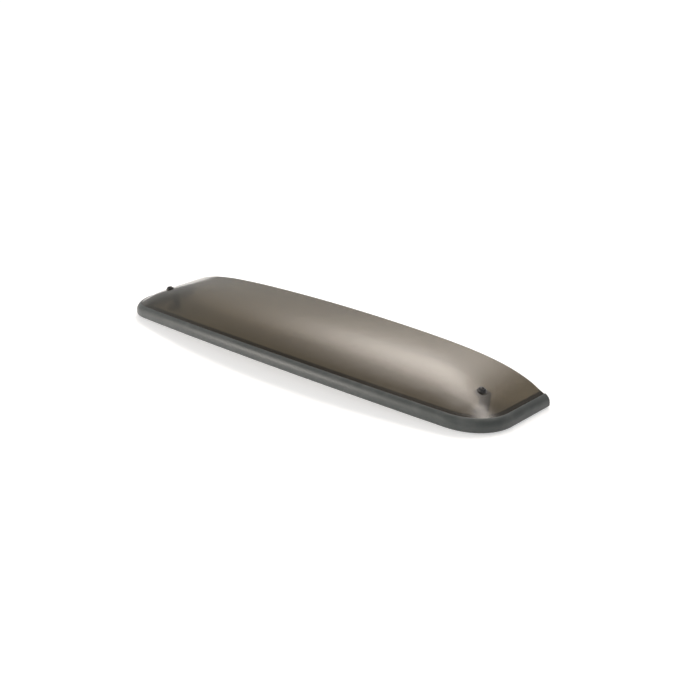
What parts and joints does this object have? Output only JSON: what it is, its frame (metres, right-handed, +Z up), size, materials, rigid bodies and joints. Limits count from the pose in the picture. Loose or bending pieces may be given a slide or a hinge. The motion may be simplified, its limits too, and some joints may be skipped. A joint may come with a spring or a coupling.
{
  "type": "sunroof wind deflector",
  "caption": "Smoked acrylic sunroof wind deflector: a low crowned dome, open at the rear, with a rubber edge seal and screwed clamp brackets for the roof opening.",
  "frame": {"origin": "middle of the bounding box in plan, at the level of the seal's lowest point, its two rear ends", "axes": "+X across the car to its right as seen from behind, +Y to the rear of the car, +Z up"},
  "size_m": [0.9192, 0.224, 0.0776],
  "materials": {
    "smoked_acrylic": "gloss",
    "seal_rubber": "satin",
    "bush_rubber": "matte",
    "pad_rubber": "matte",
    "screw_steel": "satin",
    "washer_steel": "satin",
    "bracket_steel": "satin",
    "nut_steel": "zinc plated"
  },
  "bodies": {
    "root": {"panel": "smoked_acrylic", "edge_seal": "seal_rubber", "screw_left": "screw_steel", "washer_left": "washer_steel", "rubber_bush_left": "bush_rubber", "clamp_bracket_left": "bracket_steel", "nut_washer_left": "nut_steel", "lock_nut_left": "nut_steel", "clamp_pad_left": "pad_rubber", "screw_right": "screw_steel", "washer_right": "washer_steel", "rubber_bush_right": "bush_rubber", "clamp_bracket_right": "bracket_steel", "nut_washer_right": "nut_steel", "lock_nut_right": "nut_steel", "clamp_pad_right": "pad_rubber"}
  },
  "joints": []
}
